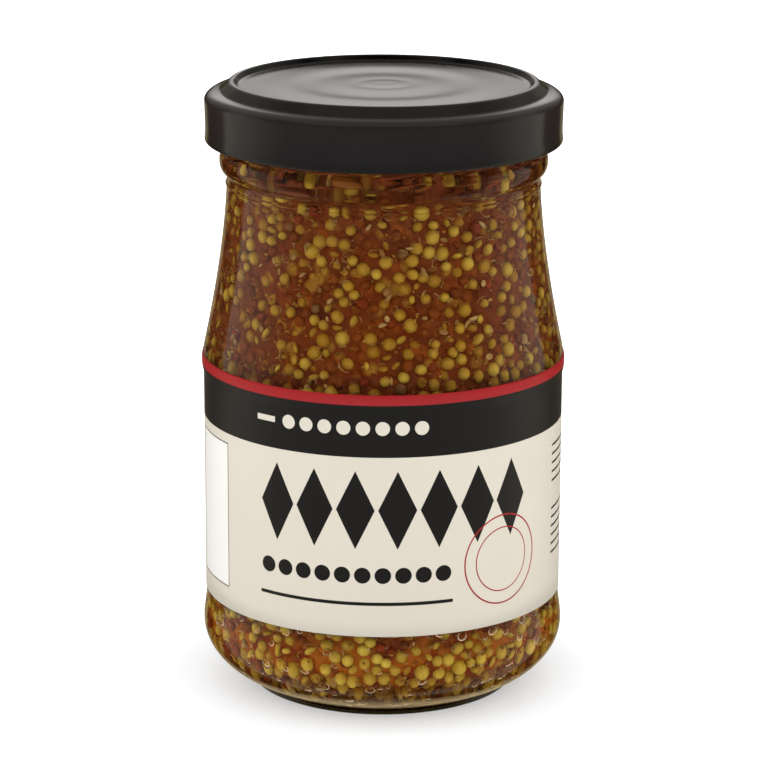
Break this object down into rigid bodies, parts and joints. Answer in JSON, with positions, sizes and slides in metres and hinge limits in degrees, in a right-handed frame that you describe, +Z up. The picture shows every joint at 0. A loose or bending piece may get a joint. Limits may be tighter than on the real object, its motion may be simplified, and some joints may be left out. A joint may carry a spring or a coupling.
{
  "type": "mustard jar",
  "caption": "Shut clear glass jar filled with wholegrain mustard, with a black twist-off lid, a round bead under it and a paper label wrapped round its straight middle.",
  "frame": {"origin": "centre of the foot ring that the jar stands on", "axes": "+Z up along the axis of the jar, -Y to the front, the opening of the label at +Y"},
  "size_m": [0.0632, 0.0632, 0.1066],
  "materials": {
    "clear_glass": "clear, polished",
    "black_enamel": "satin gloss",
    "label_paper": "matt, faint sheen",
    "wholegrain_mustard": "wet, glossy"
  },
  "bodies": {
    "root": {"jar": "clear_glass", "lid": "black_enamel", "label": "label_paper", "mustard": "wholegrain_mustard"}
  },
  "joints": []
}
